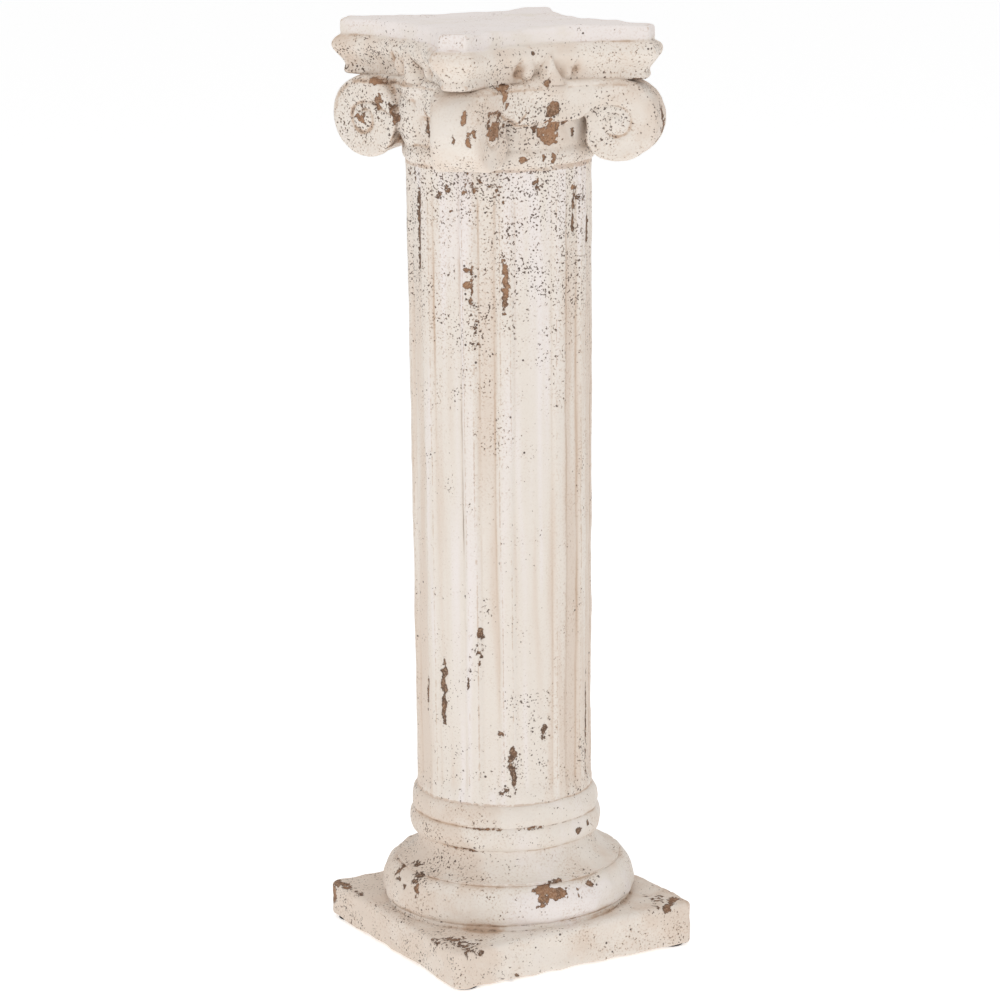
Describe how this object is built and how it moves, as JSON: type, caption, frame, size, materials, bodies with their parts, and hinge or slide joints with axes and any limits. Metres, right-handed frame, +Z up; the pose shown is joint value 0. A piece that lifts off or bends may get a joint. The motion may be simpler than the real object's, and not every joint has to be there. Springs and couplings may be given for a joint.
{
  "type": "decorative column",
  "caption": "Pedestal column of cast clay with a square plinth, turned base, fluted shaft and Ionic capital with corner volutes, to stand on the floor and carry a pot or bust.",
  "frame": {"origin": "middle of the plinth's outline, on the floor plane under the foot pads", "axes": "+Z up the shaft, X and Y along the plinth's sides"},
  "size_m": [0.222, 0.222, 0.76],
  "materials": {
    "painted_clay": "matt cream paint, chipped to brown clay",
    "foot_pad": "matt"
  },
  "bodies": {
    "root": {"column": "painted_clay", "pad_front": "foot_pad", "pad_right": "foot_pad", "pad_back": "foot_pad", "pad_left": "foot_pad"}
  },
  "joints": []
}
